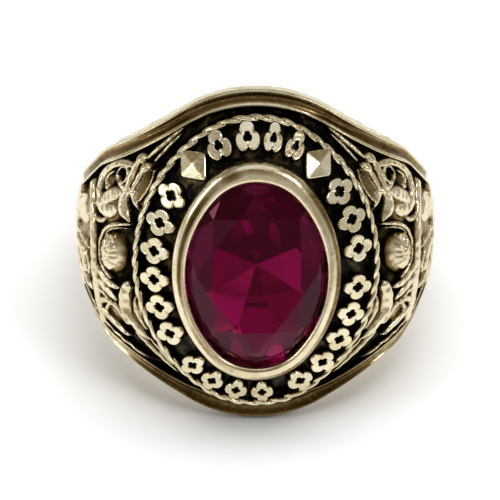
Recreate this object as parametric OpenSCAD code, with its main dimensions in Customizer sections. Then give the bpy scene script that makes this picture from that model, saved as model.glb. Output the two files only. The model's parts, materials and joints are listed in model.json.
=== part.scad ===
// Class ring: one casting with a rope border, an ornament channel and scrolled shoulders, and one oval stone.
// The ring is drawn with x across the face, y along the finger and z out through the stone.
// It is then laid on its side, resting on the face rail and the back of the shank.

/* [Shank] */
// Diameter of the finger hole
bore_d = 20.4; // [19:0.1:21]
// Metal thickness at the back of the shank
back_t = 1.6; // [1.4:0.1:2]
// Half of the shank's width at the back
back_half_w = 2.35; // [2.1:0.05:2.8]
// Half of the shank's width at the two sides
side_half_w = 3.2; // [2.9:0.05:3.6]
// Half of the ring's width across the shoulders
half_span = 12.3; // [12:0.1:12.8]

/* [Stone] */
// Length of the stone along the finger
stone_l = 13.6; // [13:0.1:14]
// Width of the stone across the face
stone_w = 10; // [9.5:0.1:10.2]
// Height of the crown above the girdle
crown_h = 1.35; // [1:0.05:1.8]
// Depth of the pavilion below the girdle
pavilion_h = 3.5; // [3:0.1:3.7]
// Table length over stone length
table_ratio = 0.72; // [0.6:0.01:0.78]

/* [Face] */
// Height of the bezel's top above the finger hole's axis
bezel_top = 15.3; // [15:0.05:15.6]
// Outer edge of the bezel, outwards from the stone
bezel_out = 0.7; // [0.6:0.02:0.9]
// How far the bezel's lip covers the stone
bezel_lip = 0.33; // [0.2:0.01:0.4]
// Height of the rope border's seat
rope_seat = 12.3; // [12.1:0.05:12.5]
// Width of the rope border
rope_w = 0.56; // [0.45:0.01:0.7]
// Height of the ornaments above the channel floor
motif_h = 0.45; // [0.25:0.05:0.6]
// Centre spacing of the ornaments along the channel
motif_pitch = 1.93; // [1.8:0.01:2]

/* [Rails] */
// Half of the face's length along the finger, to the rail's outer edge
face_half_l = 11.6; // [11.3:0.05:11.9]
// Width of the polished rail
rail_w = 0.95; // [0.7:0.05:1.2]
// Depth of the recessed ground behind the shoulder relief
relief_h = 0.55; // [0.3:0.05:0.8]

/* [Hidden] */
$fn = 40;
// Sides of the ovals, of the small circles in the channel's ornaments, and of those in the shoulder relief
oval_sides = 72;
ornament_sides = 8;
relief_sides = 24;
arc_steps = 9;
gold = "#c9b98a";
ruby = "#7a0a3c";
far = 80;
bore_r = bore_d / 2;

// Shank and shoulder barrels, each a circle about an axis along the finger, crowned across the width
shank_r = bore_r + back_t;
shank_crown = 7;
hip_z = 2.6;
hip_r = half_span - 0.1;
hip_crown = 9;
shoulder_x = 2.6;
shoulder_z = 5.25;
shoulder_r = half_span - shoulder_x;
shoulder_crown = 15;
face_z = -27;
face_r = 40;
face_crown = 42;
edge_x = 5.1;
edge_z = 4.9;
end_top = 11.4;
edge_r = 6.2;

// Flare under the face, a hollow cylinder across the ring
flare_y = 11.9;
flare_z = 1.5;
flare_r = flare_y - side_half_w;
band_spare = 0.05;

// Face plan, drawn as discs joined by their common tangents
cap_r = 9;
cap_y = face_half_l - cap_r;
corner_r = 6.25;
corner_x = 5.95;
corner_y = 2.1;

// Stone seat
stone_gap = 0.14;
star_r = 0.84;
lower_r = 0.32;
girdle_h = 0.3;
girdle_z = 14.1;
seat_in = 1.5;
oval_end_r = 3.9;

// Channel between the bezel and the rope border
floor_top = 14.05;
floor_out = 3.0;
rope_half_l = 10.3;
rope_half_w = 8.32;
rope_end_r = 6.3;
rope_h = 0.5;
rope_root = 2.5;
rope_twists = 52;
rope_cut = 0.14;
rope_depth = 0.25;
rope_lean = 38;
motif_out = 1.95;
motif_root = 0.37;
run_gap = 0.55;
petal_out = 0.42;
petal_r = 0.3;
stud_w = 1.46;
stud_wall = 0.2;
stud_tip = 0.4;
// Runs of ornaments, clockwise from the middle of the top
KIND = 0;
COUNT = 1;
RUNS = [
    ["bud", 2], ["stud", 1], ["rosette", 3], ["rosette", 5], ["rosette", 4],
    ["rosette", 6], ["stud", 1], ["bud", 2]
];

// Shoulder relief, drawn on a plane that leans halfway between face and side
relief_lean = 45;
// Leaves: across the shoulder and along the finger, from root to tip, and the width
ROOT_X = 0;
ROOT_Y = 1;
TIP_X = 2;
TIP_Y = 3;
WIDTH = 4;
LEAVES = [
    [-3.6, 7.6, -1.0, 4.2, 0.85],
    [-3.0, 6.6, -2.2, 3.4, 0.6],
    [-1.2, 4.9, -1.8, 2.4, 0.6],
    [-0.2, 4.4, 1.4, 2.0, 1.1],
    [1.4, -1.6, -0.9, -2.7, 0.5],
    [0.9, -2.5, -0.9, -3.9, 0.5],
    [-1.9, -1.7, -1.3, -4.9, 0.85],
    [-1.4, -4.2, -3.1, -6.2, 0.6],
    [-2.5, -2.7, -3.2, -5.4, 0.55],
    [0.3, -5.9, 1.7, -3.6, 0.75],
    [0.4, -3.9, -0.5, -4.6, 0.45],
    [1.1, 5.4, 0.2, 4.4, 0.55]
];
// Scrolls: centre across and along, outer radius, wire, and the arc's start and end
CX = 0;
CY = 1;
OUTER = 2;
WIRE = 3;
FROM = 4;
TO = 5;
SCROLLS = [
    [0.4, 4.9, 1.35, 0.42, 60, 250],
    [-1.0, 5.5, 0.8, 0.34, 40, 370],
    [0.0, -0.1, 2.1, 0.34, 75, 330],
    [0.9, -4.9, 0.85, 0.36, 90, 330]
];
cartouche_x = -0.1;
cartouche_y = -0.1;
cartouche_half_l = 1.45;
cartouche_half_w = 1.15;
cartouche_end_r = 0.95;
bar_x = 2.9;
bar_w = 0.55;
bar_l = 13;
ground_low_z = 0.6;

crown_slope = crown_h / ((1 - table_ratio) * stone_w / 2);
seat_slope = pavilion_h / (stone_w / 2);
floor_slope = atan((floor_top - rope_seat) / (floor_out - bezel_out));
floor_mid = floor_top - (motif_out - bezel_out) * tan(floor_slope);
rope_arc_r = side_arc_r(rope_half_l, rope_half_w, rope_end_r);
rope_turn = atan2(rope_arc_r - rope_half_w, rope_half_l - rope_end_r);
rope_length = PI / 45
    * (rope_turn * (rope_end_r - rope_w / 2) + (90 - rope_turn) * (rope_arc_r - rope_w / 2));
// The pose at rest: the plane under the face rail and the low spot of the shank's back edge
taper = (side_half_w - back_half_w) / (flare_z + shank_r);
rail_low_z = flare_z + sqrt(pow(flare_r, 2) - pow(flare_y - face_half_l, 2));
low_z = shank_crown - shank_r - sqrt(pow(shank_crown, 2) - pow(back_half_w, 2));
low_y = back_half_w + taper * (shank_r + low_z);
rest_tilt = atan((face_half_l - low_y) / (rail_low_z - low_z));
floor_drop = face_half_l * cos(rest_tilt) - rail_low_z * sin(rest_tilt);
front_reach = (stone_l / 2 + bezel_out) * sin(rest_tilt) + bezel_top * cos(rest_tilt);
back_reach = low_y * sin(rest_tilt) - low_z * cos(rest_tilt);
centre_shift = (front_reach - back_reach) / 2;

function side_arc_r(a, b, r) = (a * a + b * b - 2 * a * r) / (2 * (b - r));
function along(p, a, d) = [p[0] + d * sin(a), p[1] + d * cos(a)];

function micron(x) = round(x * 1000) / 1000;
function polar(p, r, a) = [p[0] + r * cos(a), p[1] + r * sin(a)];

// Point of a four-arc oval where its outward normal has this heading, clockwise from the top
function oval_point(n, a, b, r, out) =
    let (
        ra = side_arc_r(a, b, r),
        up = abs(n) > 90 ? 180 - abs(n) : abs(n),
        p = up < atan2(ra - b, a - r) ? along([0, a - r], up, r + out) : along([b - ra, 0], up, ra + out)
    )
    [n < 0 ? -p[0] : p[0], abs(n) > 90 ? -p[1] : p[1]];

// Point and heading at a distance round the oval, clockwise from the top
function oval_at(s, a, b, r, out) =
    let (
        ra = side_arc_r(a, b, r),
        turn = atan2(ra - b, a - r),
        cap = (r + out) * turn * PI / 180,
        quarter = cap + (ra + out) * (90 - turn) * PI / 180,
        loop = s - 4 * quarter * floor(s / (4 * quarter)),
        half = loop > 2 * quarter ? 4 * quarter - loop : loop,
        up = half > quarter ? 2 * quarter - half : half,
        heading = up < cap ? up / (r + out) * 180 / PI : turn + (up - cap) / (ra + out) * 180 / PI,
        n = (loop > 2 * quarter ? -1 : 1) * (half > quarter ? 180 - heading : heading)
    )
    concat(oval_point(n, a, b, r, out), n);

function runs_before(i) = i == 0 ? 0 : runs_before(i - 1) + RUNS[i - 1][COUNT];
function motif_s(i, k) =
    let (n = runs_before(i) + k + 0.5, gaps = i == 0 ? 0 : i == len(RUNS) - 1 ? i - 0.5 : i - 0.2)
    n * motif_pitch + gaps * run_gap;

function oval_outline(a, b, r, out) =
    [for (i = [0 : oval_sides - 1]) oval_point(i * 360 / oval_sides - 180, a, b, r, out)];

// Stack of the stone's ovals: a row of height and distance out from the stone for each
Z = 0;
OUT = 1;
module oval_stack(rows) {
    last = len(rows) - 1;
    points = [for (row = rows) for (p = oval_outline(stone_l / 2, stone_w / 2, oval_end_r, row[OUT]))
        [micron(p[0]), micron(p[1]), micron(row[Z])]];
    polyhedron(points, concat(
        [[for (i = [oval_sides - 1 : -1 : 0]) i], [for (i = [0 : oval_sides - 1]) last * oval_sides + i]],
        [for (k = [0 : last - 1]) for (i = [0 : oval_sides - 1]) let (j = (i + 1) % oval_sides)
            [k * oval_sides + i, k * oval_sides + j, (k + 1) * oval_sides + j, (k + 1) * oval_sides + i]]
    ));
}

// Crowned barrel about an axis along the finger
module barrel(x, z, r, crown) {
    translate([x, 0, z]) rotate([90, 0, 0]) rotate_extrude() intersection() {
        translate([r - crown, 0]) circle(crown);
        translate([0, -far / 2]) square([far, far]);
    }
}

// Quarter of the face plan: the end's arc, a common tangent and the corner's arc
function face_quarter(inset) =
    let (
        link = [corner_x, corner_y - cap_y],
        turn = atan2(link[1], link[0]) + acos((cap_r - corner_r) / norm(link))
    )
    concat(
        [for (i = [0 : arc_steps]) polar([0, cap_y], cap_r - inset, 90 - (90 - turn) * i / arc_steps)],
        [for (i = [0 : arc_steps]) polar([corner_x, corner_y], corner_r - inset, turn - turn * i / arc_steps)]
    );

function backwards(list) = [for (i = [len(list) - 1 : -1 : 0]) list[i]];

module face_plan(inset) {
    q = face_quarter(inset);
    polygon(concat(
        q, backwards([for (p = q) [p[0], -p[1]]]),
        [for (p = q) [-p[0], -p[1]]], backwards([for (p = q) [-p[0], p[1]]])
    ));
}

// Seen from the side: the shank widens upwards, then flares out to the face's two ends
module side_profile() {
    right = concat(
        [[back_half_w - taper, -shank_r - 1]],
        [for (i = [0 : 2 * arc_steps]) polar([flare_y, flare_z], flare_r, 180 - 45 * i / arc_steps)],
        [[flare_y, far / 2]]
    );
    polygon(concat(right, backwards([for (p = right) [-p[0], p[1]]])));
}

// Outer form of the whole ring, grown or shrunk by a lift on its outer surface
module outer_form(lift) {
    intersection() {
        union() {
            for (side = [-1, 1])
                barrel(side * shoulder_x, shoulder_z, shoulder_r + lift, shoulder_crown);
            barrel(0, hip_z, hip_r + lift, hip_crown);
            // The face's two ends keep their height out to the rail
            rotate([90, 0, 0]) linear_extrude(far, center = true) {
                for (side = [-1, 1]) translate([side * edge_x, edge_z]) circle(edge_r + lift);
                intersection() {
                    translate([0, end_top - face_r]) circle(face_r + lift);
                    translate([-edge_x, edge_z]) square([2 * edge_x, far]);
                }
            }
        }
        barrel(0, face_z, face_r + lift, face_crown);
    }
    barrel(0, 0, shank_r + lift, shank_crown);
}

// Face plan and shank band, as a prism through the whole ring
module plan_prism(inset) {
    translate([0, 0, -far / 2]) linear_extrude(far) {
        face_plan(inset);
        square([far, 2 * (side_half_w + band_spare - inset)], center = true);
    }
}

// The ring's whole form, before the relief is sunk in
module blank() {
    intersection() {
        outer_form(0);
        plan_prism(0);
        rotate([90, 0, 90]) linear_extrude(far, center = true) side_profile();
    }
}

// Rope border: a raised band on the rim of the channel, cut by slanting grooves
module rope_border() {
    difference() {
        translate([0, 0, rope_seat - rope_root]) linear_extrude(rope_h + rope_root) difference() {
            polygon(oval_outline(rope_half_l, rope_half_w, rope_end_r, 0));
            polygon(oval_outline(rope_half_l, rope_half_w, rope_end_r, -rope_w));
        }
        for (i = [0 : rope_twists - 1]) {
            s = (i + 0.5) * rope_length / rope_twists;
            p = oval_at(s, rope_half_l, rope_half_w, rope_end_r, -rope_w / 2);
            translate([p[0], p[1], rope_seat + rope_h]) rotate([0, 0, -p[2] + rope_lean])
                cube([3 * rope_w, rope_cut, 2 * rope_depth], center = true);
        }
    }
}

// One ornament in plan, its outward side towards +y
module rosette() {
    for (a = [0 : 90 : 270]) rotate([0, 0, a]) translate([0, petal_out])
        circle(petal_r, $fn = ornament_sides);
}

module bud() {
    leaf([0, -0.8], [0, 0.95], 0.62);
    for (side = [-1, 1]) leaf([0, -0.75], [side * 0.62, 0.35], 0.36);
}

// Pointed leaf between two points, the overlap of two discs
module leaf(p, q, width) {
    l = norm(q - p);
    r = (l * l / 4 + width * width / 4) / width;
    translate((p + q) / 2) rotate([0, 0, atan2(q[1] - p[1], q[0] - p[0])]) intersection() {
        translate([0, r - width / 2]) circle(r, $fn = relief_sides);
        translate([0, width / 2 - r]) circle(r, $fn = relief_sides);
    }
}

module scroll(centre, outer, wire, from, to) {
    turns = [for (i = [0 : relief_sides]) from + (to - from) * i / relief_sides];
    polygon(concat(
        [for (a = turns) polar(centre, outer, a)],
        backwards([for (a = turns) polar(centre, outer - wire, a)])
    ));
}

// Square stud with a pyramid top
module stud() {
    height = motif_root + stud_wall + stud_tip;
    translate([0, 0, -motif_root]) rotate([0, 0, 45]) intersection() {
        cylinder(h = height, r1 = stud_w / sqrt(2) * height / stud_tip, r2 = 0, $fn = 4);
        rotate([0, 0, 45]) translate([0, 0, height / 2]) cube([stud_w, stud_w, height + 1], center = true);
    }
}

// Rosettes, buds and studs along the channel, each square to its sloping floor
module channel_ornaments() {
    for (i = [0 : len(RUNS) - 1]) for (k = [0 : RUNS[i][COUNT] - 1]) {
        p = oval_at(motif_s(i, k), stone_l / 2, stone_w / 2, oval_end_r, motif_out);
        translate([p[0], p[1], floor_mid]) rotate([0, 0, -p[2]]) rotate([-floor_slope, 0, 0]) {
            if (RUNS[i][KIND] == "stud") stud();
            else translate([0, 0, -motif_root]) linear_extrude(motif_h + motif_root) {
                if (RUNS[i][KIND] == "rosette") rosette();
                else bud();
            }
        }
    }
}

// Everything raised on one shoulder, in the leaning plane
module shoulder_pattern() {
    for (l = LEAVES) leaf([l[ROOT_X], l[ROOT_Y]], [l[TIP_X], l[TIP_Y]], l[WIDTH]);
    for (c = SCROLLS) scroll([c[CX], c[CY]], c[OUTER], c[WIRE], c[FROM], c[TO]);
    translate([cartouche_x, cartouche_y])
        polygon(oval_outline(cartouche_half_l, cartouche_half_w, cartouche_end_r, 0));
    translate([bar_x, 0]) square([bar_w, bar_l], center = true);
}

// The ground sunk inside the rails, round the raised pattern on both shoulders
module sunk_ground() {
    difference() {
        plan_prism(rail_w);
        translate([0, 0, ground_low_z - far]) cube(2 * far, center = true);
        outer_form(-relief_h);
        for (side = [0, 1]) mirror([side, 0, 0]) rotate([0, relief_lean, 0])
            translate([0, 0, bore_r / 2]) linear_extrude(shank_r) shoulder_pattern();
    }
}

// Land, channel floor and foot of the setting, round the stone
module setting() {
    oval_stack([
        [rope_seat - rope_root, floor_out],
        [rope_seat, floor_out],
        [floor_top, bezel_out],
        [bezel_top, bezel_out]
    ]);
}

// Seat for the stone, open above to the lip and below to the finger hole
module stone_seat() {
    lip = stone_gap + bezel_lip;
    under = seat_in + stone_gap;
    oval_stack([
        [0, -seat_in],
        [girdle_z - stone_gap - under * seat_slope, -seat_in],
        [girdle_z - stone_gap, stone_gap],
        [girdle_z + girdle_h, stone_gap],
        [girdle_z + girdle_h + lip * crown_slope, -bezel_lip],
        [bezel_top + 1, -bezel_lip]
    ]);
}

// The casting before the finger hole is bored
module casting() {
    difference() {
        union() {
            difference() {
                blank();
                sunk_ground();
            }
            setting();
            rope_border();
            channel_ornaments();
        }
        stone_seat();
    }
}

// The casting is brought to its width across the shoulders, then bored
module ring_metal() {
    difference() {
        resize([2 * half_span, 0, 0]) casting();
        rotate([90, 0, 0]) cylinder(h = far, r = bore_r, center = true, $fn = 96);
    }
}

// Oval brilliant: a round one of radius 1, stretched to the stone's length and width
function ring_points(r, z, first, count) =
    [for (i = [0 : count - 1]) let (a = first + i * 360 / count)
        [r * stone_w / 2 * sin(a), r * stone_l / 2 * cos(a), z]];

module brilliant() {
    mains = 8;
    half = 180 / mains;
    crown_z = girdle_z + girdle_h;
    star_z = crown_z + crown_h * (1 - star_r * cos(half)) / (1 - table_ratio);
    lower_z = girdle_z - pavilion_h * (1 - lower_r * cos(half));
    points = concat(
        ring_points(table_ratio, crown_z + crown_h, half, mains),
        ring_points(star_r, star_z, 0, mains),
        ring_points(1, crown_z, 0, 2 * mains),
        ring_points(1, girdle_z, 0, 2 * mains),
        ring_points(lower_r, lower_z, 0, mains),
        [[0, 0, girdle_z - pavilion_h]]
    );
    function table(i) = i % mains;
    function star(i) = mains + i % mains;
    function top(i) = 2 * mains + i % (2 * mains);
    function bottom(i) = 4 * mains + i % (2 * mains);
    function lower(i) = 6 * mains + i % mains;
    culet = 7 * mains;
    polyhedron(points, concat(
        [[for (i = [0 : mains - 1]) table(i)]],
        [for (i = [0 : mains - 1]) [table(i), table(i + mains - 1), star(i)]],
        [for (i = [0 : mains - 1]) [table(i), star(i), top(2 * i + 1), star(i + 1)]],
        [for (i = [0 : mains - 1]) [star(i), top(2 * i), top(2 * i + 1)]],
        [for (i = [0 : mains - 1]) [star(i), top(2 * i + 2 * mains - 1), top(2 * i)]],
        [for (i = [0 : 2 * mains - 1]) [top(i), bottom(i), bottom(i + 1), top(i + 1)]],
        [for (i = [0 : mains - 1]) [lower(i), bottom(2 * i + 1), bottom(2 * i)]],
        [for (i = [0 : mains - 1]) [lower(i), bottom(2 * i), bottom(2 * i + 2 * mains - 1)]],
        [for (i = [0 : mains - 1]) [lower(i), culet, lower(i + 1), bottom(2 * i + 1)]]
    ));
}

// From the drawing frame to the pose at rest, centred over its own footprint
module at_rest() {
    translate([0, centre_shift, floor_drop]) rotate([90 - rest_tilt, 0, 0]) children();
}

module ring_body() { color(gold) at_rest() ring_metal(); }
module stone() { color(ruby) at_rest() brilliant(); }

ring_body();
stone();
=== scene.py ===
"""Class ring lying on its side: gold band, setting, rope border, ornaments and relief, and a red stone."""
import json
import math

import bpy
import numpy as np
from mathutils import Matrix, Vector


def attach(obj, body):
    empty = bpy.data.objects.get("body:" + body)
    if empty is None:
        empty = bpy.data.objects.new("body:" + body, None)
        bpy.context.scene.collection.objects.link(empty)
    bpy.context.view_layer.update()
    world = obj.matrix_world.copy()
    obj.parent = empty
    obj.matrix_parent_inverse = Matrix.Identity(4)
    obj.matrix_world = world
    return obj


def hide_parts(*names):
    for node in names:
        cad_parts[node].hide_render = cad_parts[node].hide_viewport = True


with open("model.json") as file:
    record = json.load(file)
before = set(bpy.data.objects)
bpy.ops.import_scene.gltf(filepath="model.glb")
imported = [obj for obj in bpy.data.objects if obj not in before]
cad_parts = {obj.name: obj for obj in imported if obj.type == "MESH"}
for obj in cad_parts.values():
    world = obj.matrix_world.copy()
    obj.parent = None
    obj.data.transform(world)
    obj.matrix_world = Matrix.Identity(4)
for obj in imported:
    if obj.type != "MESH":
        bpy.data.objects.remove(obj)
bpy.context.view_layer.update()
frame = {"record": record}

# The ring's own frame, in millimetres: u across the face, v along the finger, w out through the stone
MM = 0.001
FINGER_HOLE = frame["record"]["mounts"][0]
ORIGIN = np.array(FINGER_HOLE["pos_m"])
ACROSS = np.array([1.0, 0.0, 0.0])
ALONG = np.array(FINGER_HOLE["axis"])
OUTWARD = np.cross(ACROSS, ALONG)
BORE_R = FINGER_HOLE["dims"]["r_mm"]

# Outer form: barrels about axes along the finger, each crowned across the width
SHANK_R = BORE_R + 1.6
SHANK_CROWN = 7.0
HIP_W = 2.6
HIP_R = 12.2
HIP_CROWN = 9.0
SHOULDER_U = 2.6
SHOULDER_W = 5.25
SHOULDER_R = 9.7
SHOULDER_CROWN = 15.0
FACE_W = -27.0
FACE_R = 40.0
FACE_CROWN = 42.0
END_U = 5.1
END_W = 4.9
END_R = 6.2
END_TOP = 11.4

# Widths over which surfaces run into each other
BLEND = 0.1
FINE_BLEND = 0.05

# Face plan and the flare from the shank to the face
FACE_HALF_L = 11.6
CAP_R = 9.0
CAP_V = FACE_HALF_L - CAP_R
CORNER_R = 6.25
CORNER_U = 5.95
CORNER_V = 2.1
BACK_HALF_W = 2.35
SIDE_HALF_W = 3.2
FLARE_V = 11.9
FLARE_W = 1.5
FLARE_R = FLARE_V - SIDE_HALF_W
# How much wider than the side the plan stays
PLAN_SPARE = 0.05

# Stone: the half-sizes of its oval, the radius at the oval's ends, and the heights of its girdle
STONE_HALF_L = 6.8
STONE_HALF_W = 5.0
STONE_END_R = 3.9
STONE_OVAL = (STONE_HALF_L, STONE_HALF_W, STONE_END_R)
GIRDLE_W = 14.1
GIRDLE_H = 0.3

# Seat: the gap round the stone, the slopes of the lip's underside and of the seat, and how far in it goes
STONE_GAP = 0.14
CROWN_SLOPE = 0.964
SEAT_SLOPE = 0.7
SEAT_IN = 1.5

# Bezel, measured outwards from the stone
BEZEL_TOP = 15.3
BEZEL_OUT = 0.7
BEZEL_LIP = 0.33

# Channel's floor, which falls from the bezel to the rope's seat, and the line of the ornaments on it
FLOOR_TOP = 14.05
FLOOR_OUT = 3.0
ROPE_SEAT = 12.3
FLOOR_SLOPE = math.atan((FLOOR_TOP - ROPE_SEAT) / (FLOOR_OUT - BEZEL_OUT))
MOTIF_OUT = 1.95
FLOOR_MID = FLOOR_TOP - (MOTIF_OUT - BEZEL_OUT) * math.tan(FLOOR_SLOPE)

# Depth of the dark ground, and of the bed that carries it
GROUND = 0.62
BED = 0.85


# Shapes in numbers


def smooth_max(a, b, blend):
    """The greater of two surfaces, rounded where they cross."""
    return (a + b + np.sqrt((a - b) ** 2 + blend**2)) / 2


def smooth_min(a, b, blend):
    return -smooth_max(-a, -b, blend)


def step_between(x, low, high):
    """0 below low, 1 above high, smooth between."""
    t = np.clip((x - low) / (high - low), 0, 1)
    return t * t * (3 - 2 * t)


def reach(angle, u, w, radius):
    """Distance from the hole's axis to the far side of a circle about (u, w)."""
    d = u * np.sin(angle) + w * np.cos(angle)
    return d + np.sqrt(np.maximum(radius**2 - u**2 - w**2 + d**2, 0))


def crowned(radius, crown, v):
    """Radius of a barrel at a distance from the middle of its width."""
    return radius - crown + np.sqrt(np.maximum(crown**2 - v**2, 1e-6))


def outer(angle, v):
    """Distance from the hole's axis to the ring's outer surface."""
    shoulder_r = crowned(SHOULDER_R, SHOULDER_CROWN, v)
    right, left = (reach(angle, side * SHOULDER_U, SHOULDER_W, shoulder_r) for side in (1, -1))
    top = smooth_max(right, left, FINE_BLEND)
    top = smooth_max(top, reach(angle, 0, HIP_W, crowned(HIP_R, HIP_CROWN, v)), BLEND)
    for side in (-1, 1):
        top = smooth_max(top, reach(angle, side * END_U, END_W, END_R), FINE_BLEND)
    strip = reach(angle, 0, END_TOP - FACE_R, FACE_R)
    between_ends = (np.abs(strip * np.sin(angle)) < END_U) & (np.cos(angle) > 0)
    top = np.maximum(top, np.where(between_ends, strip, 0))
    face = reach(angle, 0, FACE_W, crowned(FACE_R, FACE_CROWN, v))
    shank = reach(angle, 0, 0, crowned(SHANK_R, SHANK_CROWN, v))
    return smooth_max(smooth_min(top, face, BLEND), shank, FINE_BLEND)


def plan_half(u):
    """Half of the face's length at a distance from its middle line."""
    u = np.abs(u)
    link_u, link_v = CORNER_U, CORNER_V - CAP_V
    turn = math.atan2(link_v, link_u) + math.acos((CAP_R - CORNER_R) / math.hypot(link_u, link_v))
    cap_end = (CAP_R * math.cos(turn), CAP_V + CAP_R * math.sin(turn))
    corner_end = (CORNER_U + CORNER_R * math.cos(turn), CORNER_V + CORNER_R * math.sin(turn))
    cap = CAP_V + np.sqrt(np.maximum(CAP_R**2 - u**2, 0))
    line = cap_end[1] + (u - cap_end[0]) * (corner_end[1] - cap_end[1]) / (corner_end[0] - cap_end[0])
    corner = CORNER_V + np.sqrt(np.maximum(CORNER_R**2 - (u - CORNER_U) ** 2, 0))
    plan = np.where(u < cap_end[0], cap, np.where(u < corner_end[0], line, corner))
    return np.maximum(plan, SIDE_HALF_W + PLAN_SPARE)


def profile_half(w):
    """Half of the ring's width at a height above the hole's axis, seen from the side."""
    taper = (SIDE_HALF_W - BACK_HALF_W) / (FLARE_W + SHANK_R)
    shank = BACK_HALF_W + taper * (np.minimum(w, FLARE_W) + SHANK_R)
    rise = np.clip(w - FLARE_W, 0, FLARE_R)
    return shank + FLARE_R - np.sqrt(FLARE_R**2 - rise**2)


def half_width(angle, rho):
    """Half of the ring's width at an angle round the hole and a distance from its axis."""
    return smooth_min(plan_half(rho * np.sin(angle)), profile_half(rho * np.cos(angle)), BLEND)


def edge_half(angle):
    """Half-width of the outer surface at its edge, found by closing in on it."""
    first_guess = 5.0
    kept = 0.6
    tries = 60
    v = np.full_like(angle, first_guess)
    for _ in range(tries):
        v = kept * v + (1 - kept) * half_width(angle, outer(angle, v))
    return v


def oval_arcs(a, b, r):
    """Radius of a four-arc oval's side arcs, and the heading where they meet its end arcs."""
    side_r = (a * a + b * b - 2 * a * r) / (2 * (b - r))
    return side_r, math.atan2(side_r - b, a - r)


def oval_point(heading, a, b, r, out):
    """Point outside a four-arc oval, where its outward normal has this heading, clockwise from the top."""
    side_r, turn = oval_arcs(a, b, r)
    wrapped = (heading + math.pi) % (2 * math.pi) - math.pi
    n = np.abs(wrapped)
    up = np.where(n > math.pi / 2, math.pi - n, n)
    cap = up < turn
    x = np.where(cap, (r + out) * np.sin(up), b - side_r + (side_r + out) * np.sin(up))
    y = np.where(cap, a - r + (r + out) * np.cos(up), (side_r + out) * np.cos(up))
    return np.where(wrapped < 0, -x, x), np.where(n > math.pi / 2, -y, y)


def oval_length(a, b, r, out):
    side_r, turn = oval_arcs(a, b, r)
    return 4 * ((r + out) * turn + (side_r + out) * (math.pi / 2 - turn))


def oval_at(s, a, b, r, out):
    """Point and heading at a distance round the oval, clockwise from the top."""
    side_r, turn = oval_arcs(a, b, r)
    cap = (r + out) * turn
    quarter = cap + (side_r + out) * (math.pi / 2 - turn)
    loop = s % (4 * quarter)
    half = np.where(loop > 2 * quarter, 4 * quarter - loop, loop)
    up = np.where(half > quarter, 2 * quarter - half, half)
    heading = np.where(up < cap, up / (r + out), turn + (up - cap) / (side_r + out))
    heading = np.where(half > quarter, math.pi - heading, heading)
    heading = np.where(loop > 2 * quarter, -heading, heading)
    x, y = oval_point(heading, a, b, r, out)
    return x, y, heading


# Meshes


def to_world(points):
    points = np.asarray(points, dtype=float)
    basis = np.stack([ACROSS, ALONG, OUTWARD])
    return ORIGIN + MM * (points @ basis)


def grid_faces(rows, columns, close_rows=False, close_columns=False):
    """Quads of a grid of points numbered row by row."""
    r = np.arange(rows if close_rows else rows - 1)
    c = np.arange(columns if close_columns else columns - 1)
    r, c = (a.ravel() for a in np.meshgrid(r, c, indexing="ij"))
    r1 = (r + 1) % rows
    c1 = (c + 1) % columns
    return np.stack([r * columns + c, r * columns + c1, r1 * columns + c1, r1 * columns + c], axis=1)


def round_steps(count):
    return np.linspace(0, 2 * math.pi, count, endpoint=False)


def level_row(x, y, height):
    return np.stack([x, y, np.full_like(x, height)], axis=1)


def closed_ends(rows, columns):
    """Faces of a tube of rows that run anticlockwise, with both ends closed."""
    faces = [list(f) for f in grid_faces(rows, columns, close_columns=True)]
    last = (rows - 1) * columns
    faces.append(list(range(columns))[::-1])
    faces.append(list(range(last, last + columns)))
    return faces


def joined(parts):
    """Points, faces and shade of several closed forms, made one."""
    points, faces, shade = [], [], []
    count = 0
    for own_points, own_faces, own_shade in parts:
        points.append(own_points)
        faces += [[i + count for i in f] for f in own_faces]
        shade.append(own_shade)
        count += len(own_points)
    return np.concatenate(points), faces, np.concatenate(shade)


def mesh_object(name, points, faces, smooth_angle):
    """Object from points in the ring's frame, smooth but for edges sharper than the angle in degrees."""
    mesh = bpy.data.meshes.new(name)
    mesh.from_pydata(to_world(points).tolist(), [], [list(map(int, f)) for f in faces])
    mesh.validate()
    for polygon in mesh.polygons:
        polygon.use_smooth = True
    mesh.set_sharp_from_angle(angle=math.radians(smooth_angle))
    piece = bpy.data.objects.new(name, mesh)
    bpy.context.scene.collection.objects.link(piece)
    return piece


def stand_for(piece, solid, material):
    """Makes a piece stand for a solid, on the root and in the material it is given."""
    piece.data.materials.append(material)
    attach(piece, "root")
    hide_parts(solid)


def gold_piece(name, points, faces, shade, smooth_angle):
    """Part of the casting, with how dark its metal is at each point, from antiquing and from painted shade.
    """
    piece = mesh_object(name, points, faces, smooth_angle)
    # Per-point darkness: antiquing in the hollows and painted shade
    layer = piece.data.attributes.new("recess", "FLOAT", "POINT")
    layer.data.foreach_set("value", np.asarray(shade, dtype=np.float32).ravel())
    stand_for(piece, "ring_body", gold_material())
    return piece


# Shader nodes


def new_material(name):
    """Material, its node tree and its shader."""
    material = bpy.data.materials.new(name)
    material.use_nodes = True
    return material, material.node_tree, material.node_tree.nodes["Principled BSDF"]


def feed(tree, node, values):
    """Gives inputs of a node, by name or number, a number, a colour or what another node puts out."""
    for name, value in values.items():
        socket = node.inputs[name]
        if isinstance(value, bpy.types.NodeSocket):
            tree.links.new(value, socket)
        elif isinstance(value, tuple):
            socket.default_value = (*value, 1)
        else:
            socket.default_value = value


def noise(tree, place, scale, detail=3.0):
    texture = tree.nodes.new("ShaderNodeTexNoise")
    feed(tree, texture, {"Vector": place, "Scale": scale, "Detail": detail, "Roughness": 0.55})
    return texture.outputs["Fac"]


def maths(tree, operation, a, b):
    node = tree.nodes.new("ShaderNodeMath")
    node.operation = operation
    feed(tree, node, {0: a, 1: b})
    return node.outputs[0]


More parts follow.
